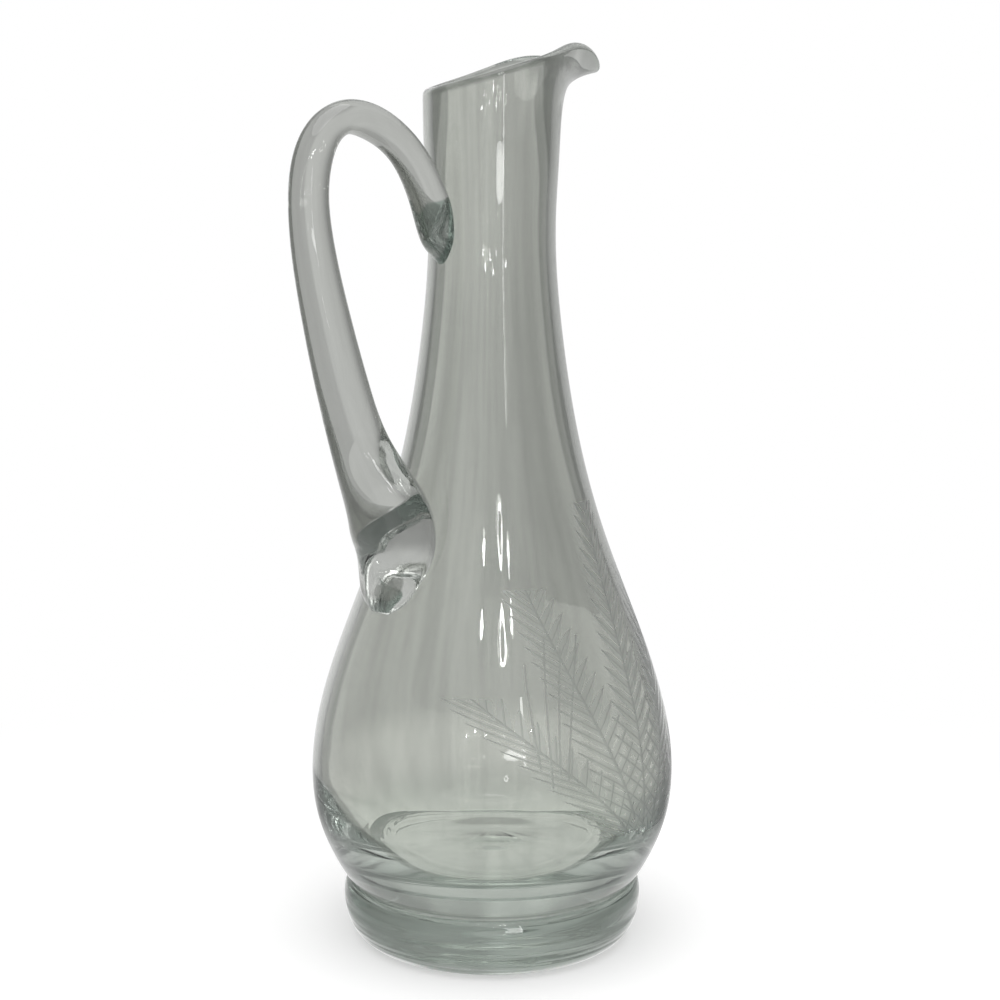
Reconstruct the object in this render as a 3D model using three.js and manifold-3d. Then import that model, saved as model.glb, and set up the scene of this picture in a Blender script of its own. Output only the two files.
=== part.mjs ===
// A hand-blown glass carafe that holds a litre, in millimetres with +Z up.
// The origin is the centre of the foot's flat underside. The handle is toward -X and the pouring lip toward +X.
// It is three gathers of clear glass joined hot: the bowl with its neck, the foot and the handle.
import * as THREE from 'three';
import { mergeVertices } from 'three/addons/utils/BufferGeometryUtils.js';
import Module from 'manifold-3d';

const wasm = await Module();
wasm.setup();

// The seam that stays between two gathers
const seamGap = 0.3;

// Foot: a heavy solid disc
const footHeight = 20;
const footRadius = 50.9;
const footWidestHeight = 14.5;
const footFlatRadius = 41.5;

// Bowl and neck, outside
const seamRadius = 48.9;
const bowlRadius = 61.5;
const bowlWidestHeight = 58;
const neckRadius = 21.4;
const neckHeight = 243;
const mouthRadius = 23.1;
const mouthHeight = 290.2;

// Bowl and neck, inside
const floorHeight = 27.8;
const bowlWall = 2.6;
const neckWall = 3.1;

// Mouth: sheared on a slant, with a lip pulled out of it
const mouthRise = 17.6;
const slantDepth = 35;
const lipReach = 47.2;
const lipDepth = 29;
const lipShoulderLift = 11.6;
const lipTipDip = 13.5;
const lipSpread = THREE.MathUtils.degToRad(40);
const lipTipSpread = THREE.MathUtils.degToRad(28);
const lipCurl = 3.35; // the power by which the pull grows toward the rim
const lipLagShare = 0.65; // how much of a wall's thickness higher up the inside is pulled

// Handle: a drawn rod with a broad tongue on the shoulder and a smaller end on the neck
const rodThickness = 12.4;
const tongueWidth = 34;
const handleOverhang = 10.9;
const tongueTipHeight = 113.5;
const loopHeight = 269.6;

// Fineness of the facets
const turns = 48;
const wallSteps = 22;
const lipSteps = 12;
const rimSteps = 5;
const hollowSteps = 15;
const footSteps = 8;
const rodSteps = 60;
const rodSides = 24;

const glass = {
  bowlAndNeck: new THREE.MeshStandardMaterial({ color: 0xb4bab4, roughness: 0.04, metalness: 0 }),
  foot: new THREE.MeshStandardMaterial({ color: 0x97a39b, roughness: 0.04, metalness: 0 }),
  handle: new THREE.MeshStandardMaterial({ color: 0xa6aea8, roughness: 0.04, metalness: 0 }),
};

// A closed solid over rings of points. Each ring has as many points, and the end rings are capped at their middles.
function skinOver(rings) {
  const around = rings[0].length;
  const middleOf = (ring) => ring.reduce((sum, p) => sum.add(p), new THREE.Vector3()).divideScalar(around);
  const points = [...rings.flat(), middleOf(rings[0]), middleOf(rings[rings.length - 1])];
  const first = rings.length * around;
  const last = first + 1;
  const index = [];
  for (let i = 0; i < around; i++) {
    const next = (i + 1) % around;
    for (let ring = 0; ring < rings.length - 1; ring++) {
      const here = ring * around;
      const above = here + around;
      index.push(here + i, here + next, above + next);
      index.push(here + i, above + next, above + i);
    }
    const top = (rings.length - 1) * around;
    index.push(first, next, i);
    index.push(last, top + i, top + next);
  }
  const geometry = new THREE.BufferGeometry().setFromPoints(points);
  geometry.setIndex(index);
  return geometry;
}

// A solid turned about the axis from an outline that starts and ends on it
function turned(outline) {
  const geometry = new THREE.LatheGeometry(outline, turns);
  geometry.rotateX(Math.PI / 2);
  geometry.deleteAttribute('normal');
  geometry.deleteAttribute('uv');
  const merged = mergeVertices(geometry);
  const corners = merged.getIndex().array;
  const kept = [];
  for (let i = 0; i < corners.length; i += 3) {
    const [a, b, c] = corners.slice(i, i + 3);
    if (a !== b && b !== c && c !== a) kept.push(a, b, c);
  }
  merged.setIndex(kept);
  return merged;
}

function solidOf(geometry) {
  return new wasm.Manifold(
    new wasm.Mesh({
      numProp: 3,
      vertProperties: geometry.getAttribute('position').array,
      triVerts: Uint32Array.from(geometry.getIndex().array),
    }),
  );
}

function geometryOf(solid) {
  const mesh = solid.getMesh();
  const geometry = new THREE.BufferGeometry();
  geometry.setAttribute('position', new THREE.BufferAttribute(mesh.vertProperties, 3));
  geometry.setIndex(new THREE.BufferAttribute(mesh.triVerts, 1));
  return geometry;
}

// The smoothest curve through the stations, each an [at, value] pair, as a function of at
function smoothThrough(stations) {
  const last = stations.length - 1;
  const step = (i) => stations[i + 1][0] - stations[i][0];
  const slope = (i) => (stations[i + 1][1] - stations[i][1]) / step(i);
  const lead = [0];
  const rest = [0];
  for (let i = 1; i < last; i++) {
    const pivot = 2 * (step(i - 1) + step(i)) - step(i - 1) * lead[i - 1];
    lead.push(step(i) / pivot);
    rest.push((6 * (slope(i) - slope(i - 1)) - step(i - 1) * rest[i - 1]) / pivot);
  }
  const bend = new Array(last + 1).fill(0);
  for (let i = last - 1; i > 0; i--) bend[i] = rest[i] - lead[i] * bend[i + 1];
  return (at) => {
    let i = 0;
    while (i < last - 1 && at > stations[i + 1][0]) i++;
    const from = at - stations[i][0];
    const start = slope(i) - (step(i) * (2 * bend[i] + bend[i + 1])) / 6;
    const twist = (bend[i + 1] - bend[i]) / (6 * step(i));
    return stations[i][1] + from * (start + from * (bend[i] / 2 + from * twist));
  };
}

// The outside of the bowl and neck. Shares run up between two named heights and across between two named radii.
const seamTop = footHeight + seamGap;
const bowlUnderShares = [[0.13, 0.26], [0.29, 0.52], [0.58, 0.855]];
const shoulderShares = [[0.14, 0.9], [0.29, 0.662], [0.445, 0.397], [0.6, 0.204], [0.79, 0.06]];
const flareShares = [[0.5, 0.75]];

function between(shares, [lowHeight, lowRadius], [highHeight, highRadius]) {
  const { lerp } = THREE.MathUtils;
  return shares.map(([up, across]) => [lerp(lowHeight, highHeight, up), lerp(lowRadius, highRadius, across)]);
}

const seam = [seamTop, seamRadius];
const widest = [bowlWidestHeight, bowlRadius];
const narrowest = [neckHeight, neckRadius];
const mouth = [mouthHeight, mouthRadius];
const outerRadius = smoothThrough([
  seam,
  ...between(bowlUnderShares, seam, widest),
  widest,
  ...between(shoulderShares.map(([up, across]) => [up, 1 - across]), widest, narrowest),
  narrowest,
  ...between(flareShares, narrowest, mouth),
  mouth,
]);

// How strongly the lip pulls at an angle from its middle: over its whole breadth, and at its tip
function lipPull(angle) {
  const turn = Math.atan2(Math.sin(angle), Math.cos(angle));
  return { broad: Math.exp(-((turn / lipSpread) ** 2)), tip: Math.exp(-((turn / lipTipSpread) ** 2)) };
}

function pullAt(height) {
  return Math.max(0, 1 - (mouthHeight - height) / lipDepth) ** lipCurl;
}

// A point of the bowl and neck at a depth into its wall, moved by the mouth's slant and by the lip
function shapedPoint(height, angle, depth = 0) {
  const { broad, tip } = lipPull(angle);
  const level = height - lipLagShare * depth;
  const slanted = THREE.MathUtils.smoothstep(level, mouthHeight - slantDepth, mouthHeight);
  const radius = outerRadius(height) - depth;
  const x = radius * Math.cos(angle);
  const out = pullAt(level) * broad * (lipReach - mouthRadius);
  const lift = pullAt(level) * (lipShoulderLift * broad - lipTipDip * tip);
  const tilt = slanted * (mouthRise / 2) * (x / mouthRadius);
  return new THREE.Vector3(x + out, radius * Math.sin(angle), height + lift + tilt);
}

function wallAt(height) {
  return THREE.MathUtils.mapLinear(height, bowlWidestHeight, neckHeight, bowlWall, neckWall);
}

// Where the lip turns outward the wall's inner face runs on past the outer one, so that the rim stays square to both
function overrun(angle) {
  const flare = (lipCurl * lipPull(angle).broad * (lipReach - mouthRadius)) / lipDepth;
  return (wallAt(mouthHeight) * flare * (1 + flare * lipLagShare)) / (1 + flare ** 2);
}

function insidePoint(height, angle) {
  return shapedPoint(height + overrun(angle) * pullAt(height), angle, wallAt(height));
}

// A point of the rounded rim, where the turn over it goes from zero outside to half a turn inside
function rimPoint(over, angle) {
  const outer = shapedPoint(mouthHeight, angle);
  const inner = insidePoint(mouthHeight, angle);
  const middle = outer.clone().lerp(inner, 1 / 2);
  const middleHeight = mouthHeight + overrun(angle) / 2;
  const middleDepth = wallAt(mouthHeight) / 2;
  const below = shapedPoint(middleHeight - seamGap, angle, middleDepth);
  const upward = shapedPoint(middleHeight, angle, middleDepth).sub(below).normalize();
  const sideways = outer.clone().sub(middle);
  const rounding = upward.multiplyScalar(sideways.length() * Math.sin(over));
  return middle.addScaledVector(sideways, Math.cos(over)).add(rounding);
}

// The inside below the widest height, as shares across its radius and up from the floor, which has a low dome
const hollowShares = [
  [1, 1], [0.985, 0.785], [0.954, 0.586], [0.903, 0.387], [0.852, 0.238], [0.784, 0.106],
  [0.706, 0.026], [0.628, 0.003], [0.526, 0], [0.34, 0], [0.204, 0.023], [0.1, 0.04],
];

function ringAt(pointAt) {
  return Array.from({ length: turns }, (_, i) => pointAt((2 * Math.PI * i) / turns));
}

// Even steps from one value to another, without the first
function stepsTo(from, to, steps) {
  return Array.from({ length: steps }, (_, i) => THREE.MathUtils.lerp(from, to, (i + 1) / steps));
}

// Bowl and neck: up the outside, over the fire-polished rim, down the inside and across the floor
function bowlAndNeck() {
  const lipFoot = mouthHeight - lipDepth;
  const up = [seamTop, ...stepsTo(seamTop, lipFoot, wallSteps), ...stepsTo(lipFoot, mouthHeight, lipSteps)];
  const over = stepsTo(0, Math.PI, rimSteps).slice(0, -1);
  const down = [...stepsTo(lipFoot, mouthHeight, lipSteps).reverse(), lipFoot];
  down.push(...stepsTo(lipFoot, bowlWidestHeight, wallSteps).slice(0, -1));
  const hollow = new THREE.CatmullRomCurve3(hollowShares.map(([across, rise]) => new THREE.Vector3(
    across * (bowlRadius - wallAt(bowlWidestHeight)),
    0,
    THREE.MathUtils.lerp(floorHeight, bowlWidestHeight, rise),
  )));
  const axis = new THREE.Vector3(0, 0, 1);
  return skinOver([
    ...up.map((height) => ringAt((angle) => shapedPoint(height, angle))),
    ...over.map((turn) => ringAt((angle) => rimPoint(turn, angle))),
    ...down.map((height) => ringAt((angle) => insidePoint(height, angle))),
    ...hollow.getSpacedPoints(hollowSteps).map((point) => (
      ringAt((angle) => point.clone().applyAxisAngle(axis, angle))
    )),
  ]);
}

// Foot: flat underneath, its side swelling up to the widest ring and turning in to the seam
function foot() {
  const swell = new THREE.EllipseCurve(
    footFlatRadius, footWidestHeight, footRadius - footFlatRadius, footWidestHeight, -Math.PI / 2, 0,
  );
  const turnIn = new THREE.EllipseCurve(
    seamRadius, footWidestHeight, footRadius - seamRadius, footHeight - footWidestHeight, 0, Math.PI / 2,
  );
  const outline = [new THREE.Vector2(0, 0), ...swell.getPoints(footSteps), ...turnIn.getPoints(footSteps).slice(1)];
  outline.push(new THREE.Vector2(0, footHeight));
  return turned(outline);
}

// The room that the bowl and neck take up below the slant, with the seam's gap round it
function bodyRoom() {
  const top = mouthHeight - slantDepth;
  const heights = [seamTop, ...stepsTo(seamTop, top, wallSteps)];
  const outline = heights.map((height) => new THREE.Vector2(outerRadius(height) + seamGap, height));
  return turned([new THREE.Vector2(0, seamTop), ...outline, new THREE.Vector2(0, top)]);
}

// Handle: [reach, height, thickness, width, press] shares from the tongue's tip up round the loop to the end on the neck.
// Reach is from the axis to the grip, and height is from the tongue's tip to the loop's top.
// Press is how far the rod is pressed on the bowl, from a round rod at 0 to the tongue at 1.
const gripReach = bowlRadius + handleOverhang;
const handleShares = [
  [0.644, 0.004, 0.16, 0.247, 1],
  [0.631, 0.021, 0.4, 0.518, 1],
  [0.61, 0.054, 0.65, 0.788, 1],
  [0.558, 0.125, 1.4, 1, 1],
  [0.577, 0.215, 1.65, 1, 1],
  [0.652, 0.28, 1.48, 0.853, 0.9],
  [0.743, 0.352, 1.44, 0.588, 0.35],
  [0.836, 0.464, 1.34, 0.488, 0],
  [0.916, 0.599, 1.21, 0.441, 0],
  [0.986, 0.753, 1.06, 0.388, 0],
  [1, 0.836, 1, 0.365, 0],
  [0.971, 0.919, 0.97, 0.353, 0],
  [0.909, 0.969, 0.89, 0.335, 0],
  [0.812, 0.997, 0.84, 0.324, 0],
  [0.7, 0.997, 0.9, 0.332, 0],
  [0.599, 0.98, 0.91, 0.332, 0],
  [0.503, 0.949, 0.92, 0.335, 0],
  [0.428, 0.906, 0.98, 0.347, 0],
  [0.367, 0.854, 1.06, 0.353, 0],
  [0.32, 0.799, 1.13, 0.347, 0],
  [0.293, 0.757, 0.85, 0.279, 0],
  [0.282, 0.726, 0.24, 0.118, 0],
];

// What pressing does to the round rod: it flattens the ridge's flanks, squares the section underneath,
// sinks it toward the bowl and bends it round the bowl
const pressShares = { flatten: 0.9, square: 0.4, sink: 0.3, bend: 0.5 };

// How far a point of the section stands out, as a share of half its thickness
function standOut(turn, press) {
  const lean = Math.abs(Math.cos(turn));
  if (Math.cos(turn) > 0) return lean ** (1 + pressShares.flatten * press);
  return -(1 + pressShares.sink * press) * lean ** (1 - pressShares.square * press);
}

function handle() {
  const loopRise = loopHeight - tongueTipHeight;
  const path = new THREE.CatmullRomCurve3(handleShares.map(([reach, up]) => (
    new THREE.Vector3(-reach * gripReach, 0, tongueTipHeight + up * loopRise)
  )));
  const girth = new THREE.CatmullRomCurve3(handleShares.map(([, , thick, wide, press]) => (
    new THREE.Vector3((thick * rodThickness) / 2, (wide * tongueWidth) / 2, press)
  )));
  const across = new THREE.Vector3(0, 1, 0);
  const rings = [];
  for (let step = 0; step <= rodSteps; step++) {
    const share = step / rodSteps;
    const centre = path.getPoint(share);
    const outward = across.clone().cross(path.getTangent(share)).normalize();
    const half = girth.getPoint(share);
    const press = THREE.MathUtils.clamp(half.z, 0, 1);
    rings.push(Array.from({ length: rodSides }, (_, i) => {
      const turn = (2 * Math.PI * i) / rodSides;
      const aside = half.y * Math.sin(turn);
      const point = centre.clone().addScaledVector(outward, half.x * standOut(turn, press));
      const bowl = outerRadius(point.z);
      point.x += pressShares.bend * press * (bowl - Math.sqrt(bowl ** 2 - aside ** 2));
      return point.addScaledVector(across, aside);
    }));
  }
  return geometryOf(solidOf(skinOver(rings)).subtract(solidOf(bodyRoom())));
}

function piece(name, geometry, material) {
  const mesh = new THREE.Mesh(geometry, material);
  mesh.name = name;
  return mesh;
}

const carafe = new THREE.Group();
carafe.add(piece('bowl_and_neck', bowlAndNeck(), glass.bowlAndNeck));
carafe.add(piece('foot', foot(), glass.foot));
carafe.add(piece('handle', handle(), glass.handle));

export default carafe;
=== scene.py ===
import math

import bmesh
import bpy
import numpy as np
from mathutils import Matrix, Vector


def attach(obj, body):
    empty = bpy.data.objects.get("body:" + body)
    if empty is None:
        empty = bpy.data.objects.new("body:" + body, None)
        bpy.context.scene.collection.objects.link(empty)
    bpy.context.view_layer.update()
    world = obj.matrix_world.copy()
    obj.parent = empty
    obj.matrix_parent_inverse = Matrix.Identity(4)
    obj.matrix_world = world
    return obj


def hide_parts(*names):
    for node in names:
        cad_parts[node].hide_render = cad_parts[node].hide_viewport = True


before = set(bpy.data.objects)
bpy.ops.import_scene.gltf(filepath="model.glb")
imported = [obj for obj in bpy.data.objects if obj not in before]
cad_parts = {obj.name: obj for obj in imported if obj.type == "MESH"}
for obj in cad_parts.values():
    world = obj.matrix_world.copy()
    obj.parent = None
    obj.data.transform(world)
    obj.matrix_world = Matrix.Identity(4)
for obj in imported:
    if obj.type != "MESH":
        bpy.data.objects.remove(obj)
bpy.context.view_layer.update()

# Bowl and neck: one bubble of clear soda glass, thick at the bottom and drawn out thin into the neck.
# The mouth is sheared on a slant while hot, a lip is pulled out of its high side, and the rim is melted.
# When it is cold, a spray of fern fronds is engraved and frosted on its outside.

SEAM_HEIGHT, SEAM_RADIUS = 0.020, 0.0489
BOWL_WIDEST_HEIGHT, BOWL_RADIUS = 0.058, 0.0615
NECK_HEIGHT, NECK_RADIUS = 0.243, 0.0214
MOUTH_HEIGHT, MOUTH_RADIUS = 0.2902, 0.0231
FLOOR_HEIGHT, BOWL_WALL, NECK_WALL = 0.0278, 0.0026, 0.0031
MOUTH_RISE, SLANT_DEPTH = 0.0176, 0.035
LIP_REACH, LIP_DEPTH = 0.0472, 0.029
LIP_SHOULDER_LIFT, LIP_TIP_DIP = 0.0116, 0.0135
LIP_SPREAD, LIP_TIP_SPREAD = math.radians(40), math.radians(28)
LIP_CURL, LIP_LAG_SHARE = 3.35, 0.65
UNDER_SHARES = [(0.13, 0.26), (0.29, 0.52), (0.58, 0.855)]
SHOULDER_SHARES = [(0.14, 0.1), (0.29, 0.338), (0.445, 0.603), (0.6, 0.796), (0.79, 0.94)]
FLARE_SHARES = [(0.5, 0.75)]
# The hollow's lower half, from the widest place down to the middle of its floor, as shares across and up
HOLLOW_SHARES = [
    (1, 1), (0.985, 0.785), (0.954, 0.586), (0.903, 0.387), (0.852, 0.238), (0.784, 0.106), (0.735, 0.042),
    (0.708, 0.012), (0.69, 0.004), (0.628, 0), (0.526, 0), (0.34, 0), (0.204, 0.023), (0.1, 0.04), (0, 0.046),
]
HOLLOW_LEAD = 0.0065
PRESS_RINGS, PRESS_RING_RISE, PRESS_RING_WIDTH = (0.0368, 0.0415), 0.0004, 0.0011
TURNS, BODY_STEPS, LIP_STEPS = 192, 130, 30
RIM_STEPS, LINING_STEPS, FLOOR_STEPS = 12, 100, 120
RIM_PROBE = 0.0002
WELD_REACH = 2e-6


def smooth_curve(at, value):
    """The smoothest curve through the stations, as a function of where it is asked for."""
    at, value = np.asarray(at, float), np.asarray(value, float)
    step = np.diff(at)
    slope = np.diff(value) / step
    size = len(at)
    matrix, right = np.eye(size), np.zeros(size)
    for i in range(1, size - 1):
        matrix[i, i - 1 : i + 2] = step[i - 1], 2 * (step[i - 1] + step[i]), step[i]
        right[i] = 6 * (slope[i] - slope[i - 1])
    bend = np.linalg.solve(matrix, right)

    def curve(where):
        i = np.clip(np.searchsorted(at, where) - 1, 0, size - 2)
        along = where - at[i]
        start = slope[i] - step[i] * (2 * bend[i] + bend[i + 1]) / 6
        twist = (bend[i + 1] - bend[i]) / (6 * step[i])
        return value[i] + along * (start + along * (bend[i] / 2 + along * twist))

    return curve


def travelled(first, second):
    """How far it is to each station along the line through them all."""
    return np.concatenate([[0], np.cumsum(np.hypot(np.diff(first), np.diff(second)))])


def between(shares, low, high):
    return [tuple(a + share * (b - a) for a, b, share in zip(low, high, pair)) for pair in shares]


seam = (SEAM_HEIGHT, SEAM_RADIUS)
widest = (BOWL_WIDEST_HEIGHT, BOWL_RADIUS)
narrowest = (NECK_HEIGHT, NECK_RADIUS)
mouth = (MOUTH_HEIGHT, MOUTH_RADIUS)
stations = [
    seam, *between(UNDER_SHARES, seam, widest), widest, *between(SHOULDER_SHARES, widest, narrowest),
    narrowest, *between(FLARE_SHARES, narrowest, mouth), mouth,
]
outer_radius = smooth_curve(*zip(*stations))


def lip_pull(angle):
    """How much a side of the mouth is pulled out: broadly, and close to the lip's tip."""
    turn = np.arctan2(np.sin(angle), np.cos(angle))
    return np.exp(-((turn / LIP_SPREAD) ** 2)), np.exp(-((turn / LIP_TIP_SPREAD) ** 2))


def pull_at(height):
    return np.maximum(0, 1 - (MOUTH_HEIGHT - height) / LIP_DEPTH) ** LIP_CURL


def shaped(height, angle, depth=0.0):
    """Points at a depth into the wall, moved by the mouth's slant and by the lip."""
    broad, tip = lip_pull(angle)
    level = height - LIP_LAG_SHARE * depth
    rise = np.clip((level - MOUTH_HEIGHT + SLANT_DEPTH) / SLANT_DEPTH, 0, 1)
    slanted = rise * rise * (3 - 2 * rise)
    radius = outer_radius(height) - depth
    x = radius * np.cos(angle)
    out = pull_at(level) * broad * (LIP_REACH - MOUTH_RADIUS)
    lift = pull_at(level) * (LIP_SHOULDER_LIFT * broad - LIP_TIP_DIP * tip)
    tilt = slanted * MOUTH_RISE / 2 * x / MOUTH_RADIUS
    return np.stack([x + out, radius * np.sin(angle), height + lift + tilt], -1)


def wall_at(height):
    share = (height - BOWL_WIDEST_HEIGHT) / (NECK_HEIGHT - BOWL_WIDEST_HEIGHT)
    return BOWL_WALL + share * (NECK_WALL - BOWL_WALL)


def overrun(angle):
    """How far the inner face runs on past the outer one where the lip turns outward."""
    flare = LIP_CURL * lip_pull(angle)[0] * (LIP_REACH - MOUTH_RADIUS) / LIP_DEPTH
    return wall_at(MOUTH_HEIGHT) * flare * (1 + flare * LIP_LAG_SHARE) / (1 + flare**2)


def inside(height, angle):
    return shaped(height + overrun(angle) * pull_at(height), angle, wall_at(height))


def around(radius, height, angles):
    return np.stack([radius * np.cos(angles), radius * np.sin(angles), np.full(len(angles), height)], -1)


class Skin:
    """Vertices, faces and a mark for each face, gathered ring by ring."""

    def __init__(self):
        self.points, self.faces, self.marks = [], [], []

    def ring(self, points):
        start = len(self.points)
        self.points += [tuple(p) for p in points]
        return list(range(start, start + len(points)))

    def face(self, corners, mark=0):
        self.faces.append(corners)
        self.marks.append(mark)

    def join(self, low, high, mark=0):
        for j in range(len(low)):
            k = (j + 1) % len(low)
            self.face((low[j], low[k], high[k], high[j]), mark)

    def close(self, ring, middle, mark=0):
        (centre,) = self.ring([middle])
        for j in range(len(ring)):
            self.face((ring[j], ring[(j + 1) % len(ring)], centre), mark)

    def tube(self, rings, mark=0):
        rows = [self.ring(points) for points in rings]
        for low, high in zip(rows, rows[1:]):
            self.join(low, high, mark)
        return rows

    def marked(self, mark):
        return [corners for corners, found in zip(self.faces, self.marks) if found == mark]

    def mesh(self, name):
        made = bpy.data.meshes.new(name)
        made.from_pydata(self.points, [], self.faces)
        made.polygons.foreach_set("material_index", self.marks)
        made.update()
        return made


# Marks of the faces: the blown form's skin, the mouth's opening, the base under it, and the handle's rod
FORM, OPENING, BASE, ROD = range(4)

angles = np.arange(TURNS) * 2 * math.pi / TURNS
lip_foot = MOUTH_HEIGHT - LIP_DEPTH
heights = np.concatenate([
    np.linspace(SEAM_HEIGHT, lip_foot, BODY_STEPS)[:-1],
    np.linspace(lip_foot, MOUTH_HEIGHT, LIP_STEPS),
])
outside_rings = [shaped(np.full(TURNS, height), angles) for height in heights]
rim_outer = outside_rings[-1]
form = Skin()
rows = form.tube(outside_rings, FORM)
form.close(rows[0][::-1], (0, 0, SEAM_HEIGHT), BASE)
form.close(rows[-1], rim_outer.mean(0), OPENING)

# The rim rolls over from the outer face to the inner one
rim_inner = inside(np.full(TURNS, MOUTH_HEIGHT), angles)
rim_middle = (rim_outer + rim_inner) / 2
middle_height = MOUTH_HEIGHT + overrun(angles) / 2
middle_depth = wall_at(MOUTH_HEIGHT) / 2
upward = shaped(middle_height, angles, middle_depth) - shaped(middle_height - RIM_PROBE, angles, middle_depth)
upward /= np.linalg.norm(upward, axis=1, keepdims=True)
rim_round = np.linalg.norm(rim_outer - rim_middle, axis=1, keepdims=True)
lining_rings = [
    rim_middle + (rim_outer - rim_middle) * math.cos(over) + upward * rim_round * math.sin(over)
    for over in np.linspace(0, math.pi, RIM_STEPS)[:-1]
]
for height in np.concatenate([
    np.linspace(MOUTH_HEIGHT, lip_foot, LIP_STEPS),
    np.linspace(lip_foot, BOWL_WIDEST_HEIGHT, LINING_STEPS)[1:],
]):
    lining_rings.append(inside(np.full(TURNS, height), angles))

# The hollow's lower half starts a little above the widest place, so that no crease runs round it there
across, rise = np.array(HOLLOW_SHARES).T
above = BOWL_WIDEST_HEIGHT + HOLLOW_LEAD
hollow_r = np.append(outer_radius(above) - wall_at(above), across * (BOWL_RADIUS - BOWL_WALL))
hollow_z = np.append(above, FLOOR_HEIGHT + rise * (BOWL_WIDEST_HEIGHT - FLOOR_HEIGHT))
travel = travelled(hollow_r, hollow_z)
hollow_r_at, hollow_z_at = smooth_curve(travel, hollow_r), smooth_curve(travel, hollow_z)
for way in np.linspace(travel[1], travel[-1], FLOOR_STEPS)[1:-1]:
    radius = float(hollow_r_at(way))
    ridges = sum(math.exp(-(((radius - ring) / PRESS_RING_WIDTH) ** 2)) for ring in PRESS_RINGS)
    lining_rings.append(around(radius, float(hollow_z_at(way)) + PRESS_RING_RISE * ridges, angles))
lining = Skin()
rows = lining.tube(lining_rings)
lining.close(rows[-1], (0, 0, hollow_z[-1]))


def placed(name, data):
    item = bpy.data.objects.new(name, data)
    bpy.context.scene.collection.objects.link(item)
    return item


def weld(item, parts):
    """Gives a piece its faces, out of several skins. Those in a joint, with the mark 1, are fused."""
    made = bmesh.new()
    fused = made.faces.layers.float.new("fused")
    for skin, faces, mark in parts:
        vertices = [None] * len(skin.points)
        for corners in faces:
            for i in corners:
                if vertices[i] is None:
                    vertices[i] = made.verts.new(skin.points[i])
            made.faces.new([vertices[i] for i in corners])[fused] = mark
    bmesh.ops.remove_doubles(made, verts=made.verts, dist=WELD_REACH)
    for face in made.faces:
        face.smooth = True
    made.to_mesh(item.data)
    made.free()


def vertices_of(item):
    return np.array([v.co for v in item.data.vertices])


def set_grain(item, grain):
    """How the glass was drawn at each vertex: it changes slowly along its last number."""
    found = item.data.attributes.new("grain", "FLOAT_VECTOR", "POINT")
    found.data.foreach_set("vector", np.asarray(grain, float).ravel())


def set_measure(item, name, measure):
    item.data.attributes.new(name, "FLOAT", "POINT").data.foreach_set("value", measure.astype(float))


BOWL_GRAIN_RADIUS, DRAWN_OUT = 0.03, 25
FAR_FROM_RIM = 1.0


def skin_bowl(parts):
    """The bowl's faces, with its grain, its outer side and its distance from the middle of the rim."""
    weld(bowl, parts)
    points = vertices_of(bowl)
    from_axis = np.hypot(points[:, 0], points[:, 1])
    turn = np.arctan2(points[:, 1], points[:, 0])
    set_grain(bowl, np.stack([
        BOWL_GRAIN_RADIUS * np.cos(turn), BOWL_GRAIN_RADIUS * np.sin(turn), points[:, 2] / DRAWN_OUT,
    ], -1))
    set_measure(bowl, "outside", from_axis > outer_radius(points[:, 2]) - BOWL_WALL / 2)
    from_rim = np.full(len(points), FAR_FROM_RIM)
    near_mouth = points[:, 2] > MOUTH_HEIGHT - SLANT_DEPTH
    from_rim[near_mouth] = np.sqrt(((points[near_mouth, None] - rim_middle[None]) ** 2).sum(-1).min(1))
    set_measure(bowl, "from_rim", from_rim)


bowl = placed("bowl_and_neck_glass", bpy.data.meshes.new("bowl_and_neck_glass"))
skin_bowl([(form, form.marked(FORM), 0), (form, form.marked(BASE), 1), (lining, lining.faces, 0)])

# Its tints, and where each takes over. The dark bands towards the outline, on the base's sides, on the lip
# and along the rim are painted shade. The lighter low wall and the band just inside the outline are painted
# light. A height is in metres from the table, and Facing goes from 0, seen square on, to 1 at the outline
GREEN = (0.39, 0.48, 0.44)
# The lighter tint low on the bowl's wall, just above the base, is painted light
NECK_TINT, WALL_TINT, PAINTED_TABLE_LIGHT = (0.68, 0.693, 0.662), (0.638, 0.651, 0.622), (0.81, 0.825, 0.785)
NECK_SPAN, TABLE_LIGHT_SPAN = (0.2, 0.25), (0.068, 0.054)
# The base's sides darken towards the outline: painted shade
FLOOR_TINT, BASE_TINT, BASE_SIDE_SHADE = (0.97, 0.98, 0.945), (0.46, 0.50, 0.455), (0.19, 0.21, 0.19)
FLOOR_SPAN, BASE_SHADE_FACING = (0.048, 0.03), (0.34, 0.52)
# Painted light and shade at the outline: a lighter band just inside it, then a dark band, and a darkest
# outline
PAINTED_EDGE_LIGHT, PAINTED_EDGE_SHADE, PAINTED_OUTLINE_SHADE = (0.765, 0.78, 0.745), (0.3, 0.313, 0.293), (0.14, 0.155, 0.14)
BOWL_SHADE_FACING, NECK_SHADE_FACING, FLARE_SHADE_LESS = 0.66, 0.45, 0.14
EDGE_SHADE_SPAN, FLARE_SHADE_SPAN, EDGE_LIGHT_SPAN = (0.09, 0.19), (0.25, 0.28), (0.05, 0.062)
EDGE_LIGHT_BAND, EDGE_SHADE_SOFTNESS, OUTLINE_SHADE_FACING = (-0.2, -0.05), 0.05, (0.7, 0.96)
# Painted shade: the lip, out past the neck, is darkened
LIP_SHADE_TINT, LIP_SHADE_SPAN, LIP_SHADE_OUT = (0.35, 0.363, 0.343), (0.26, 0.27), (0.027, 0.033)
# Painted shade: a dark bead along the middle of the rim
RIM_SHADE_TINT, RIM_SHADE_BEAD = (0.36, 0.38, 0.355), (0.0021, 0.0015)


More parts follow.
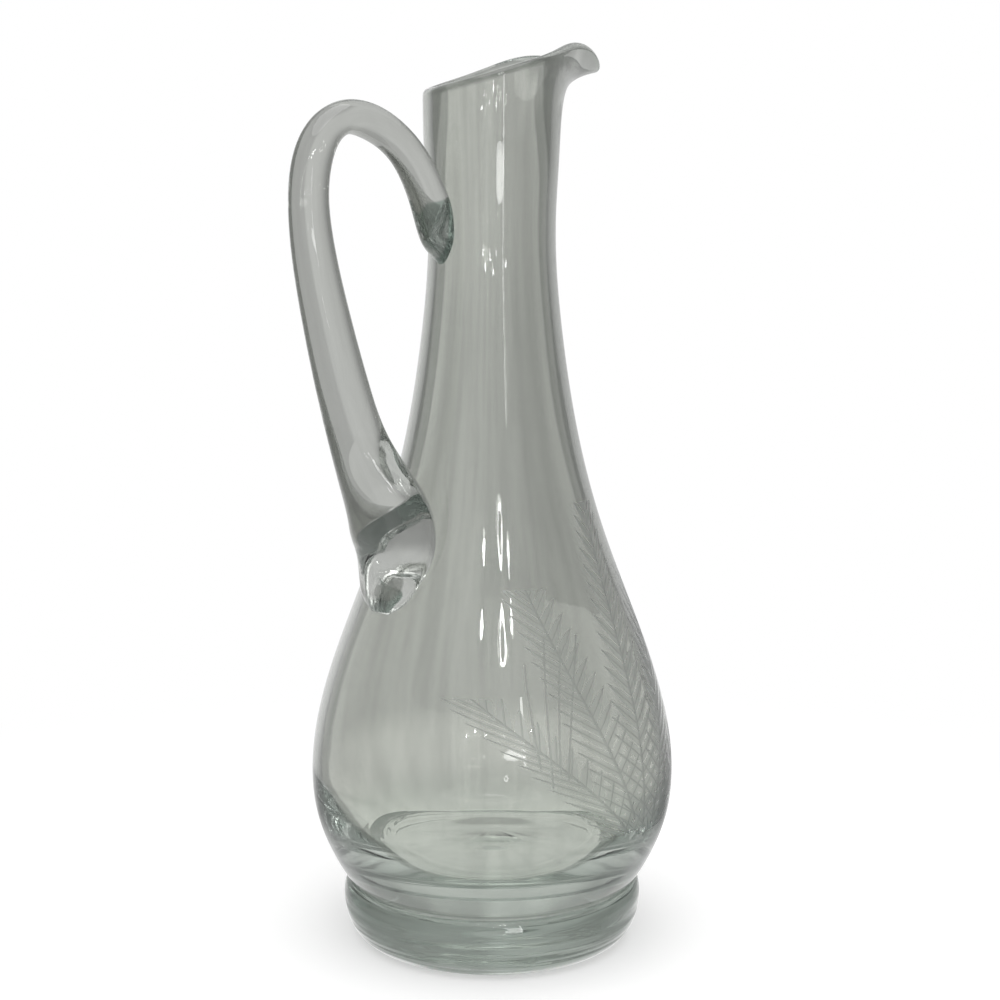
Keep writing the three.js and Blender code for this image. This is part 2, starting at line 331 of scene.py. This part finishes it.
def add_node(tree, kind, values=(), **settings):
    """A shader node whose inputs are numbers, colours or the outputs of other nodes."""
    made = tree.nodes.new("ShaderNode" + kind)
    for name, value in settings.items():
        setattr(made, name, value)
    for name, value in dict(values).items():
        if isinstance(value, bpy.types.NodeSocket):
            tree.links.new(value, made.inputs[name])
        else:
            made.inputs[name].default_value = value
    return made


def math_node(tree, operation, *values):
    return add_node(tree, "Math", enumerate(values), operation=operation).outputs[0]


def less(tree, first, second):
    return math_node(tree, "SUBTRACT", first, second)


def larger(tree, first, second):
    return math_node(tree, "MAXIMUM", first, second)


def product(tree, first, *others):
    for other in others:
        first = math_node(tree, "MULTIPLY", first, other)
    return first


def vector_node(tree, operation, result, *values):
    return add_node(tree, "VectorMath", enumerate(values), operation=operation).outputs[result]


def ramp(tree, value, low, high, start=0.0, end=1.0):
    """A soft step from start, where the value is low, to end, where it is high."""
    return add_node(tree, "MapRange", {
        "Value": value, "From Min": low, "From Max": high, "To Min": start, "To Max": end,
    }, interpolation_type="SMOOTHSTEP").outputs["Result"]


def colour_of(value):
    return (*value, 1) if isinstance(value, tuple) else value


def mixed(tree, share, first, second):
    """The second colour over the first, by that share. A Mix node's colours are its sockets 6, 7 and 2."""
    return add_node(tree, "Mix", {
        "Factor": share, 6: colour_of(first), 7: colour_of(second),
    }, data_type="RGBA").outputs[2]


def mark_of(tree, name):
    return add_node(tree, "Attribute", attribute_name=name).outputs


def place_in(tree):
    """Where a point of the piece is: X, Y and Z in metres."""
    return add_node(tree, "SeparateXYZ", {0: add_node(tree, "TexCoord").outputs["Object"]}).outputs


def from_axis_in(tree, place):
    flat = add_node(tree, "CombineXYZ", {0: place["X"], 1: place["Y"]}).outputs[0]
    return vector_node(tree, "LENGTH", "Value", flat)


def group(name, ins, outs):
    made = bpy.data.node_groups.new(name, "ShaderNodeTree")
    for label, kind in ins:
        made.interface.new_socket(label, in_out="INPUT", socket_type="NodeSocket" + kind)
    for label, kind in outs:
        made.interface.new_socket(label, in_out="OUTPUT", socket_type="NodeSocket" + kind)
    return made, made.nodes.new("NodeGroupInput").outputs, made.nodes.new("NodeGroupOutput").inputs


# The hot glass's own surface: fine lines along the way it was drawn, the long soft waves between them,
# and the streaks where the melt was a little darker
drawn, given, result = group(
    "drawn surface", [("Grain", "Vector"), ("Lines", "Float"), ("Waves", "Float"), ("Streaks", "Float")],
    [("Height", "Float"), ("Shade", "Float")],
)
# Scale, detail and roughness of the noise in the lines, the waves and the streaks
DRAWN_NOISES = ((900.0, 3.0, 0.6), (130.0, 1.0, 0.5), (240.0, 4.0, 0.6))
STREAK_EDGE = (0.35, 0.7)
fine, long, streak = (
    add_node(drawn, "TexNoise", {
        "Vector": given["Grain"], "Scale": scale, "Detail": detail, "Roughness": roughness,
    }).outputs["Fac"]
    for scale, detail, roughness in DRAWN_NOISES
)
lines, waves = product(drawn, fine, given["Lines"]), product(drawn, long, given["Waves"])
drawn.links.new(math_node(drawn, "ADD", lines, waves), result["Height"])
darker = product(drawn, ramp(drawn, streak, *STREAK_EDGE), given["Streaks"])
drawn.links.new(less(drawn, 1.0, darker), result["Shade"])


def glass(name, depth_of_green, lines, waves, streaks):
    """Clear glass whose fused faces don't show, with what a piece's colour, painted light and shade included,
    and its height are added to.
    """
    made = bpy.data.materials.new(name)
    made.use_nodes = True
    tree = made.node_tree
    shader = tree.nodes["Principled BSDF"]
    shader.inputs["Roughness"].default_value = 0.0
    shader.inputs["IOR"].default_value = 1.5
    shader.inputs["Transmission Weight"].default_value = 1
    tree.links.new(less(tree, 1.0, mark_of(tree, "fused")["Fac"]), shader.inputs["Alpha"])
    surface = add_node(tree, "Group", {
        "Grain": mark_of(tree, "grain")["Vector"], "Lines": lines, "Waves": waves, "Streaks": streaks,
    }, node_tree=drawn).outputs
    depth = add_node(tree, "VolumeAbsorption", {"Color": (*GREEN, 1), "Density": depth_of_green})
    tree.links.new(depth.outputs[0], tree.nodes["Material Output"].inputs["Volume"])
    return made, tree, shader, surface


def colour_and_relief(tree, shader, surface, colour, height):
    shaded = add_node(tree, "VectorMath", {0: colour, "Scale": surface["Shade"]}, operation="SCALE")
    tree.links.new(shaded.outputs["Vector"], shader.inputs["Base Color"])
    bump = add_node(tree, "Bump", {"Height": height, "Strength": 1.0, "Distance": 0.001})
    tree.links.new(bump.outputs["Normal"], shader.inputs["Normal"])


# One engraved frond: a stem with narrow frosted leaves on both sides, and a deeper line along each leaf
FROND_VALUES = ("Root Around", "Root Height", "Length", "Lean", "Bend", "Half Width", "Pitch")
FROND_OPENING, FROND_END, FROND_TAPER, FROND_LEAST_HALF_WIDTH = (0.02, 0.35), 0.01, 1.6, 0.01
LEAF_SLOPE, LEAF_POINT, LEAF_SOFTNESS = 0.9, 2.2, 0.08
STEM_EDGE, LEAF_LINE_EDGE = (0.0005, 0.0003), (0.07, 0.03)

frond, given, result = group(
    "frond", [(label, "Float") for label in ("Around", "Height", *FROND_VALUES)],
    [("Frost", "Float"), ("Line", "Float")],
)
up = less(frond, given["Height"], given["Root Height"])
along = math_node(frond, "DIVIDE", up, given["Length"])
bent = product(frond, along, along, given["Bend"])
swing = math_node(frond, "ADD", product(frond, along, given["Lean"]), bent)
off = math_node(frond, "ABSOLUTE", less(frond, less(frond, given["Around"], given["Root Around"]), swing))
narrowed = less(frond, 1.0, math_node(frond, "POWER", larger(frond, along, 0.0), FROND_TAPER))
taper = product(frond, ramp(frond, along, *FROND_OPENING), narrowed)
half = larger(frond, product(frond, given["Half Width"], taper), FROND_LEAST_HALF_WIDTH)
climb = less(frond, up, product(frond, off, LEAF_SLOPE))
leaf = math_node(frond, "FRACT", math_node(frond, "DIVIDE", climb, given["Pitch"]))
from_middle = math_node(frond, "ABSOLUTE", less(frond, leaf, 0.5))
pointed = math_node(frond, "POWER", math_node(frond, "DIVIDE", off, half), LEAF_POINT)
leaf_half = product(frond, less(frond, 1.0, pointed), 0.5)
blade = ramp(frond, less(frond, leaf_half, from_middle), 0.0, LEAF_SOFTNESS)
ends = product(frond, ramp(frond, along, 0.0, FROND_END), ramp(frond, along, 1.0, 1 - FROND_END))
frond.links.new(product(frond, blade, ends), result["Frost"])
leaf_line = product(frond, blade, ramp(frond, from_middle, *LEAF_LINE_EDGE))
drawn_line = larger(frond, ramp(frond, off, *STEM_EDGE), leaf_line)
frond.links.new(product(frond, drawn_line, ends), result["Line"])

# The spray: a fan of fronds and a few blades of grass, in millimetres from its middle line on the bowl
FRONDS = [
    # root around, root height, length, lean, bend, half width, pitch
    (2, 46, 104, -4, 10, 13, 5.2), (-2, 50, 74, -26, -4, 11, 4.6), (6, 46, 82, 20, 12, 12, 4.9),
    (-4, 46, 46, -34, -12, 8, 4.0), (8, 44, 50, 36, 10, 9, 4.2),
]
# Root around, root height, length, lean, bend
GRASS = [(-24, 66, 44, 3, 6), (-26, 68, 38, 0, 4), (-28, 64, 46, -3, 4), (-31, 70, 32, -5, 2)]
MILLIMETRES = 1000
SPRAY_ANGLE, SPRAY_RADIUS = math.radians(-80), 0.05
GRASS_EDGE, GRASS_END = (0.0004, 0.0002), 0.03
OUTER_FACE_EDGE = (0.4, 0.6)
FROST_TINT, FROST_SHARE, FROST_ROUGHNESS = (0.5, 0.52, 0.51), 0.35, 0.28
CUT_TINT, CUT_SHARE, CUT_ROUGHNESS, CUT_DEPTH = (0.4, 0.42, 0.41), 0.7, 0.4, 0.12

bowl_glass, tree, shader, surface = glass(
    "bowl_and_neck_glass", depth_of_green=2.0, lines=0.008, waves=0.1, streaks=0.12,
)
place = place_in(tree)
middle_x, middle_y = math.cos(SPRAY_ANGLE), math.sin(SPRAY_ANGLE)
ahead = math_node(tree, "ADD", product(tree, place["X"], middle_x), product(tree, place["Y"], middle_y))
beside = less(tree, product(tree, place["Y"], middle_x), product(tree, place["X"], middle_y))
around_bowl = product(tree, math_node(tree, "ARCTAN2", beside, ahead), SPRAY_RADIUS)
frost, cuts = 0.0, 0.0
for values in FRONDS:
    sizes = {label: value / MILLIMETRES for label, value in zip(FROND_VALUES, values)}
    found = add_node(tree, "Group", {
        "Around": around_bowl, "Height": place["Z"], **sizes,
    }, node_tree=frond).outputs
    frost = larger(tree, found["Frost"], frost)
    cuts = larger(tree, found["Line"], cuts)
for values in GRASS:
    root, low, tall, lean, bend = (value / MILLIMETRES for value in values)
    share = math_node(tree, "DIVIDE", less(tree, place["Z"], low), tall)
    swing = product(tree, math_node(tree, "ADD", lean, product(tree, share, bend)), share)
    off = math_node(tree, "ABSOLUTE", less(tree, less(tree, around_bowl, root), swing))
    ends = product(tree, ramp(tree, share, 0.0, GRASS_END), ramp(tree, share, 1.0, 1 - GRASS_END))
    cuts = larger(tree, product(tree, ramp(tree, off, *GRASS_EDGE), ends), cuts)
outer_face = ramp(tree, mark_of(tree, "outside")["Fac"], *OUTER_FACE_EDGE)
frost, cuts = product(tree, frost, outer_face), product(tree, cuts, outer_face)
roughness = larger(tree, product(tree, frost, FROST_ROUGHNESS), product(tree, cuts, CUT_ROUGHNESS))
tree.links.new(roughness, shader.inputs["Roughness"])

facing = add_node(tree, "LayerWeight").outputs["Facing"]
tint = mixed(tree, ramp(tree, place["Z"], *NECK_SPAN), WALL_TINT, NECK_TINT)
# Painted light: the low wall is lightened
tint = mixed(tree, ramp(tree, place["Z"], *TABLE_LIGHT_SPAN), tint, PAINTED_TABLE_LIGHT)
# Painted shade: the base darkens towards its outline
base_tint_and_shade = mixed(tree, ramp(tree, facing, *BASE_SHADE_FACING), BASE_TINT, BASE_SIDE_SHADE)
bottom_tint = mixed(tree, outer_face, FLOOR_TINT, base_tint_and_shade)
tint = mixed(tree, ramp(tree, place["Z"], *FLOOR_SPAN), tint, bottom_tint)
# Painted shade: the glass darkens past a facing that moves with height. Painted light: a lighter band just
# before that, above the base
shade_from = ramp(tree, place["Z"], *EDGE_SHADE_SPAN, BOWL_SHADE_FACING, NECK_SHADE_FACING)
shade_from = less(tree, shade_from, ramp(tree, place["Z"], *FLARE_SHADE_SPAN, 0.0, FLARE_SHADE_LESS))
past_shade_edge = less(tree, facing, shade_from)
edge_light = product(tree, ramp(tree, past_shade_edge, *EDGE_LIGHT_BAND), ramp(tree, place["Z"], *EDGE_LIGHT_SPAN))
tint = mixed(tree, edge_light, tint, PAINTED_EDGE_LIGHT)
tint = mixed(tree, ramp(tree, past_shade_edge, 0.0, EDGE_SHADE_SOFTNESS), tint, PAINTED_EDGE_SHADE)
tint = mixed(tree, ramp(tree, facing, *OUTLINE_SHADE_FACING), tint, PAINTED_OUTLINE_SHADE)
# Painted shade on the lip
lip_shade = product(tree, ramp(tree, from_axis_in(tree, place), *LIP_SHADE_OUT), ramp(tree, place["Z"], *LIP_SHADE_SPAN))
tint = mixed(tree, lip_shade, tint, LIP_SHADE_TINT)
# Painted shade along the rim
tint = mixed(tree, ramp(tree, mark_of(tree, "from_rim")["Fac"], *RIM_SHADE_BEAD), tint, RIM_SHADE_TINT)
tint = mixed(tree, product(tree, frost, FROST_SHARE), tint, FROST_TINT)
tint = mixed(tree, product(tree, cuts, CUT_SHARE), tint, CUT_TINT)
relief = less(tree, surface["Height"], product(tree, cuts, CUT_DEPTH))
colour_and_relief(tree, shader, surface, tint, relief)

bowl.data.materials.append(bowl_glass)
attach(bowl, "root")
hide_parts("bowl_and_neck")

# Foot: a second gather of the same glass, stuck to the bowl's base while hot and paddled to a thick disc.
# The rod it was held by leaves a small ground and polished hollow in the middle of its underside.

FOOT_WIDEST_HEIGHT, FOOT_RADIUS, FOOT_FLAT_RADIUS = 0.0145, 0.0509, 0.0415
PONTIL_RADIUS, PONTIL_DEPTH = 0.009, 0.0004
JOINT_GAP = 0.00002
PONTIL_STEPS, FLAT_STEPS, SIDE_STEPS, SHOULDER_STEPS = 9, 12, 24, 12
FOOT_GRAIN_RADIUS, FOOT_WAVES_CLOSER = 0.006, 1.4
# Painted shade: the foot darkens towards its outline, and its underside is a little darker where the paper
# shows through
FOOT_TINT, FOOT_EDGE_SHADE, UNDERSIDE_SHADE_TINT = (0.515, 0.545, 0.505), (0.29, 0.315, 0.285), (0.5, 0.53, 0.49)
FOOT_SHADE_FACING, UNDERSIDE_SHADE_SPAN = (0.5, 0.95), (0.003, 0.001)

outline = [
    (PONTIL_RADIUS * share, PONTIL_DEPTH * (1 + math.cos(math.pi * share)) / 2)
    for share in np.linspace(0, 1, PONTIL_STEPS)[1:]
]
outline += [(radius, 0.0) for radius in np.linspace(PONTIL_RADIUS, FOOT_FLAT_RADIUS, FLAT_STEPS)[1:-1]]
for turn in np.linspace(0, math.pi / 2, SIDE_STEPS):
    outline.append((
        FOOT_FLAT_RADIUS + (FOOT_RADIUS - FOOT_FLAT_RADIUS) * math.sin(turn),
        FOOT_WIDEST_HEIGHT * (1 - math.cos(turn)),
    ))
top_height = SEAM_HEIGHT - JOINT_GAP
for turn in np.linspace(0, math.pi / 2, SHOULDER_STEPS)[1:]:
    outline.append((
        SEAM_RADIUS + (FOOT_RADIUS - SEAM_RADIUS) * math.cos(turn),
        FOOT_WIDEST_HEIGHT + (top_height - FOOT_WIDEST_HEIGHT) * math.sin(turn),
    ))
turned = Skin()
rows = turned.tube([around(radius, height, angles) for radius, height in outline])
turned.close(rows[0][::-1], (0, 0, PONTIL_DEPTH))
lid = Skin()
lid.close(lid.ring(around(*outline[-1], angles)), (0, 0, top_height))
foot = placed("foot_glass", bpy.data.meshes.new("foot_glass"))
weld(foot, [(turned, turned.faces, 0), (lid, lid.faces, 1)])
points = vertices_of(foot)
flat = np.maximum(np.hypot(points[:, 0], points[:, 1]), FOOT_FLAT_RADIUS)
set_grain(foot, np.stack([
    FOOT_GRAIN_RADIUS * points[:, 0] / flat, FOOT_GRAIN_RADIUS * points[:, 1] / flat,
    FOOT_WAVES_CLOSER * (points[:, 2] + flat),
], -1))

foot_glass, tree, shader, surface = glass(
    "foot_glass", depth_of_green=9.0, lines=0.001, waves=1.7, streaks=0.25,
)
# Painted shade towards the outline
edge_shade = ramp(tree, add_node(tree, "LayerWeight").outputs["Facing"], *FOOT_SHADE_FACING)
tint = mixed(tree, edge_shade, FOOT_TINT, FOOT_EDGE_SHADE)
# Painted shade on the underside
tint = mixed(tree, ramp(tree, place_in(tree)["Z"], *UNDERSIDE_SHADE_SPAN), tint, UNDERSIDE_SHADE_TINT)
colour_and_relief(tree, shader, surface, tint, surface["Height"])

foot.data.materials.append(foot_glass)
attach(foot, "root")
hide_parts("foot")

# Handle: a thick rod of the same glass, pulled from one gather. Its lower end is pressed on the bowl as a
# pad and drawn down into a tongue. Then it is looped over and stuck to the neck, and both ends melt into
# the bowl's own glass.

HANDLE_ROWS = [
    # out from the axis, height, thickness, width and press, from the tongue's tip up and round to the neck
    (46.6, 114.2, 2, 8.4, 1), (45.7, 116.8, 5, 17.6, 1), (44.2, 122, 8.1, 26.8, 1), (40.4, 133, 17.4, 34, 1),
    (41.8, 147, 20.4, 34, 1), (47.2, 157.2, 18.4, 29, 0.9), (53.8, 168.4, 17.8, 20, 0.35),
    (60.5, 186, 16.6, 16.6, 0), (66.3, 207, 15, 15, 0), (71.4, 231, 13.2, 13.2, 0),
    (72.4, 244, 12.4, 12.4, 0), (70.3, 257, 12, 12, 0), (65.8, 264.8, 11, 11.4, 0),
    (58.8, 269.2, 10.4, 11, 0), (50.7, 269.1, 11.2, 11.3, 0), (43.4, 266.5, 11.3, 11.3, 0),
    (36.4, 261.6, 11.4, 11.4, 0), (31, 255, 12.1, 11.8, 0), (26.6, 246.8, 13.2, 12, 0),
    (23.2, 238.2, 14, 11.8, 0), (21.2, 231.6, 10.6, 9.5, 0), (20.4, 226.8, 3, 4, 0),
]
ROD_SIDES, ROD_STEPS, ROD_PROBE = 64, 300, 1e-5
RIDGE_SHARPNESS, BACK_SWELL, BACK_FLATNESS = 0.9, 0.3, 0.4
ROD_GRAIN_RADIUS, LEAST_LENGTH = 0.006, 1e-6
# Painted shade: the rod darkens towards its outline
ROD_TINT, ROD_EDGE_SHADE, ROD_SHADE_FACING = (0.478, 0.488, 0.465), (0.3, 0.315, 0.295), (0.4, 0.95)
# Painted light: the pad and its tongue are lightened
PAD_LIGHT_TINT, PAD_LIGHT_SPAN = (0.625, 0.638, 0.61), (0.15, 0.135)
# Painted shade: a dark green patch where the rod meets the neck
JOINT_SHADE_TINT, JOINT_SHADE_OUT = (0.13, 0.175, 0.15), (0.0243, 0.0236)
JOINT_SHADE_TOP, JOINT_SHADE_BOTTOM = (0.2475, 0.2465), (0.2, 0.21)

rod_stations = np.array(HANDLE_ROWS) / (MILLIMETRES, MILLIMETRES, MILLIMETRES, MILLIMETRES, 1)
travel = travelled(*rod_stations[:, :2].T)
out_at, height_at, thick_at, wide_at, press_at = (smooth_curve(travel, row) for row in rod_stations.T)


def middle_of_rod(way):
    return np.array([-out_at(way), 0, height_at(way)])


ways = np.linspace(0, travel[-1], ROD_STEPS)
sides = np.arange(ROD_SIDES) * 2 * math.pi / ROD_SIDES
rod_rings = []
for way in ways:
    centre = middle_of_rod(way)
    ahead = middle_of_rod(way + ROD_PROBE) - centre
    ahead /= np.linalg.norm(ahead)
    outward = np.cross((0, 1, 0), ahead)
    # Pressed glass stands in a ridge with flat flanks, and lies round the bowl
    press = float(np.clip(press_at(way), 0, 1))
    lean = np.abs(np.cos(sides))
    ridge = lean ** (1 + RIDGE_SHARPNESS * press)
    back = -(1 + BACK_SWELL * press) * lean ** (1 - BACK_FLATNESS * press)
    level = np.where(np.cos(sides) > 0, ridge, back)
    aside = np.sin(sides) * wide_at(way) / 2
    ring = centre + np.outer(level * thick_at(way) / 2, outward) + np.outer(aside, (0, 1, 0))
    bowl_there = outer_radius(ring[:, 2])
    ring[:, 0] += press / 2 * (bowl_there - np.sqrt(bowl_there**2 - aside**2))
    rod_rings.append(ring)
rod = Skin()
rows = rod.tube(rod_rings, ROD)
rod.close(rows[0][::-1], np.mean(rod_rings[0], 0), ROD)
rod.close(rows[-1], np.mean(rod_rings[-1], 0), ROD)

form_mesh, rod_mesh = form.mesh("form"), rod.mesh("rod")
for mesh in (form_mesh, rod_mesh):
    for _ in (FORM, OPENING, BASE, ROD):
        mesh.materials.append(None)


def melted(operation):
    """The blown form and the rod, put together as solids. Each face keeps its mark."""
    first, second = placed("first", form_mesh), placed("second", rod_mesh)
    cut = first.modifiers.new("melt", "BOOLEAN")
    cut.operation, cut.solver, cut.object = operation, "EXACT", second
    made = bpy.data.meshes.new_from_object(first.evaluated_get(bpy.context.evaluated_depsgraph_get()))
    for item in (first, second):
        bpy.data.objects.remove(item)
    found = Skin()
    found.ring([v.co for v in made.vertices])
    for face in made.polygons:
        found.face(tuple(face.vertices), face.material_index)
    bpy.data.meshes.remove(made)
    return found


# The bowl's skin is made again with its joints, and the handle ends on the same faces, turned over
both, shared = melted("UNION"), melted("INTERSECT")
skin_bowl([
    (both, both.marked(FORM), 0), (both, both.marked(BASE), 1), (shared, shared.marked(FORM), 1),
    (lining, lining.faces, 0),
])
handle = placed("handle_glass", bpy.data.meshes.new("handle_glass"))
weld(handle, [
    (both, both.marked(ROD), 0), (shared, [corners[::-1] for corners in shared.marked(FORM)], 1),
])
points = vertices_of(handle)
centres = np.array([middle_of_rod(way) for way in ways])
nearest = np.array([np.argmin(((centres - point) ** 2).sum(1)) for point in points])
off = points - centres[nearest]
off /= np.maximum(np.linalg.norm(off, axis=1, keepdims=True), LEAST_LENGTH)
set_grain(handle, np.stack([
    ROD_GRAIN_RADIUS * off[:, 1], ROD_GRAIN_RADIUS * (off[:, 0] + off[:, 2]), ways[nearest] / DRAWN_OUT,
], -1))

handle_glass, tree, shader, surface = glass(
    "handle_glass", depth_of_green=2.0, lines=0.01, waves=0.1, streaks=0.15,
)
place = place_in(tree)
# Painted shade towards the rod's outline
edge_shade = ramp(tree, add_node(tree, "LayerWeight").outputs["Facing"], *ROD_SHADE_FACING)
tint = mixed(tree, edge_shade, ROD_TINT, ROD_EDGE_SHADE)
# Painted light on the pad
tint = mixed(tree, ramp(tree, place["Z"], *PAD_LIGHT_SPAN), tint, PAD_LIGHT_TINT)
# Painted shade where the rod meets the neck
joint_shade = product(
    tree, ramp(tree, from_axis_in(tree, place), *JOINT_SHADE_OUT), ramp(tree, place["Z"], *JOINT_SHADE_TOP),
    ramp(tree, place["Z"], *JOINT_SHADE_BOTTOM),
)
tint = mixed(tree, joint_shade, tint, JOINT_SHADE_TINT)
colour_and_relief(tree, shader, surface, tint, surface["Height"])

handle.data.materials.append(handle_glass)
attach(handle, "root")
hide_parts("handle")

# Floor and studio: pale paper under the carafe, a white wall behind it, and greyer walls to the sides.
# The lamps behind the camera are as small as the downlights and the window of a room, and make the glints.

TOWARDS = (0.643, 0.766, 0)
RIGHTWARD = (TOWARDS[1], -TOWARDS[0], 0)
AIM_HEIGHT = 0.15
FLOOR_RADIUS, FLOOR_INNER_RADIUS, FLOOR_DROP, FLOOR_RINGS = 0.8, 0.05, 0.0001, 16
PAPER, PAPER_GLOW, PAPER_FADE = (0.8, 0.8, 0.8, 1), 0.4, (0.1, 0.4)
LIT_FLOOR_TURN, LIT_FLOOR_REACH = (0.55, 0.9), (0.16, 0.08)
RIGHT_LEVEL, SIDE_LEVEL, FRONT_LEVEL, CEILING_LEVEL, ROOM_LIGHT = 0.76, 0.5, 0.85, 0.85, 0.6
WALL_TURN, RIGHT_TURN, FRONT_TURN, CEILING_TURN = (0.62, 0.93), (-0.04, 0.06), (-0.3, -0.9), (0.45, 0.75)


def level_between(tree, share, first, second):
    return add_node(tree, "Mix", {
        "Factor": share, "A": first, "B": second,
    }, data_type="FLOAT").outputs["Result"]


def shown_to(tree, *kinds):
    """1 for a ray of any of these kinds."""
    path = add_node(tree, "LightPath")
    found = path.outputs[kinds[0]]
    for kind in kinds[1:]:
        found = larger(tree, found, path.outputs[kind])
    return found


sheet = Skin()
radii = np.linspace(FLOOR_RADIUS, FLOOR_INNER_RADIUS, FLOOR_RINGS)
rows = sheet.tube([around(radius, -FLOOR_DROP, angles) for radius in radii])
sheet.close(rows[-1], (0, 0, -FLOOR_DROP))
floor = placed("floor", sheet.mesh("floor"))
paper = bpy.data.materials.new("floor_paper")
paper.use_nodes = True
tree = paper.node_tree
tree.nodes.remove(tree.nodes["Principled BSDF"])
spot = add_node(tree, "TexCoord").outputs["Object"]
away = vector_node(tree, "LENGTH", "Value", spot)
behind = vector_node(tree, "DOT_PRODUCT", "Value", spot, TOWARDS)
turned_away = math_node(tree, "ABSOLUTE", math_node(tree, "DIVIDE", behind, away))
lit = larger(tree, ramp(tree, turned_away, *LIT_FLOOR_TURN), ramp(tree, away, *LIT_FLOOR_REACH))
mirrored_level = math_node(tree, "ADD", SIDE_LEVEL, product(tree, lit, 1 - SIDE_LEVEL))
camera_ray = shown_to(tree, "Is Camera Ray")
mirrored = shown_to(tree, "Is Glossy Ray", "Is Transmission Ray")
matt = add_node(tree, "BsdfDiffuse", {"Color": PAPER})
glow = add_node(tree, "Emission", {"Strength": product(tree, camera_ray, PAPER_GLOW)})
near = add_node(tree, "AddShader", {0: matt.outputs[0], 1: glow.outputs[0]})
far = add_node(tree, "Emission", {"Strength": level_between(tree, camera_ray, mirrored_level, 1.0)})
fade = larger(tree, product(tree, ramp(tree, away, *PAPER_FADE), camera_ray), mirrored)
both_ways = add_node(tree, "MixShader", {0: fade, 1: near.outputs[0], 2: far.outputs[0]})
tree.links.new(both_ways.outputs[0], tree.nodes["Material Output"].inputs["Surface"])
floor.data.materials.append(paper)

world = bpy.data.worlds.new("studio")
bpy.context.scene.world = world
world.use_nodes = True
tree = world.node_tree
way = add_node(tree, "TexCoord").outputs["Generated"]
facing = vector_node(tree, "DOT_PRODUCT", "Value", way, TOWARDS)
rightward = vector_node(tree, "DOT_PRODUCT", "Value", way, RIGHTWARD)
up = add_node(tree, "SeparateXYZ", {0: way}).outputs["Z"]
wall_level = ramp(tree, rightward, *RIGHT_TURN, 1.0, RIGHT_LEVEL)
room_level = ramp(tree, facing, *FRONT_TURN, SIDE_LEVEL, FRONT_LEVEL)
level = level_between(tree, ramp(tree, facing, *WALL_TURN), room_level, wall_level)
level = level_between(tree, ramp(tree, up, *CEILING_TURN), level, CEILING_LEVEL)
level = level_between(tree, shown_to(tree, "Is Glossy Ray", "Is Transmission Ray"), ROOM_LIGHT, level)
level = level_between(tree, shown_to(tree, "Is Camera Ray"), level, 1.0)
tree.nodes["Background"].inputs["Color"].default_value = (1, 1, 1, 1)
tree.links.new(level, tree.nodes["Background"].inputs["Strength"])


def lamp(name, place, size, power, shape="DISK", hollow=0.0):
    """A lamp of that size in metres that faces the carafe, its middle dark to that share of its radius."""
    light = bpy.data.lights.new(name, "AREA")
    light.shape, light.size, light.energy = shape, size[0], power
    if len(size) > 1:
        light.size_y = size[1]
    item = placed(name, light)
    item.location = place
    item.rotation_euler = (Vector(place) - Vector((0, 0, AIM_HEIGHT))).to_track_quat("Z", "Y").to_euler()
    item.visible_camera = False
    if hollow:
        light.use_nodes = True
        tree = light.node_tree
        spot = add_node(tree, "NewGeometry").outputs["Position"]
        from_middle = vector_node(tree, "DISTANCE", "Value", spot, place)
        ring = math_node(tree, "GREATER_THAN", from_middle, hollow * size[0] / 2)
        tree.links.new(ring, tree.nodes["Emission"].inputs["Strength"])


def stand(turn, rise, distance):
    """A place that far from the carafe, turned from the camera's side and risen by those degrees."""
    turn, rise = math.radians(turn), math.radians(rise)
    flat = np.array(RIGHTWARD[:2]) * math.sin(turn) - np.array(TOWARDS[:2]) * math.cos(turn)
    return (*(flat * math.cos(rise) * distance), AIM_HEIGHT + math.sin(rise) * distance)


# Each lamp's stand, size in metres and power in watts
lamp("overhead", stand(0, 75, 1.8), (1.8,), 14)
lamp("ring", stand(8.5, 29.5, 2.2), (0.2,), 2.6, hollow=0.75)
lamp("left_downlight", stand(-9, 31, 2.2), (0.07,), 0.4)
lamp("right_downlight", stand(17, 31, 2.2), (0.07,), 0.4)
lamp("window", stand(20, 11, 2.0), (0.05, 0.7), 0.6, "RECTANGLE")
lamp("wide_downlight", stand(14, 5, 1.5), (0.36, 0.1), 0.5, "ELLIPSE")
lamp("low_ring", stand(8.5, -4, 1.2), (0.05,), 0.05, hollow=0.6)
for turn, rise in ((-16, 12), (-11, 13.5), (-4, 12.5), (2, 14), (7, 12), (25, 13)):
    lamp("far_downlight", stand(turn, rise, 2.4), (0.035,), 0.12)

# The camera stands where the photograph's did. Light trapped in the thick glass takes many bounces to get out
CAMERA_PLACE, CAMERA_TILT, CAMERA_TURN = (-0.3125, -0.3724, 0.1866), math.radians(85.5), math.radians(-40)
CAMERA_LENS, CAMERA_FILM, CAMERA_SHIFT, CAMERA_NEAR = 51.65, 36, 0.008, 0.01
BOUNCES = 72

camera = placed("camera", bpy.data.cameras.new("camera"))
camera.location = CAMERA_PLACE
camera.rotation_euler = (CAMERA_TILT, 0, CAMERA_TURN)
camera.data.lens = CAMERA_LENS
camera.data.sensor_width = CAMERA_FILM
camera.data.shift_x = CAMERA_SHIFT
camera.data.clip_start = CAMERA_NEAR
bpy.context.scene.camera = camera
bpy.context.scene.view_settings.view_transform = "Standard"
for limit in ("max_bounces", "glossy_bounces", "transmission_bounces", "transparent_max_bounces"):
    setattr(bpy.context.scene.cycles, limit, BOUNCES)
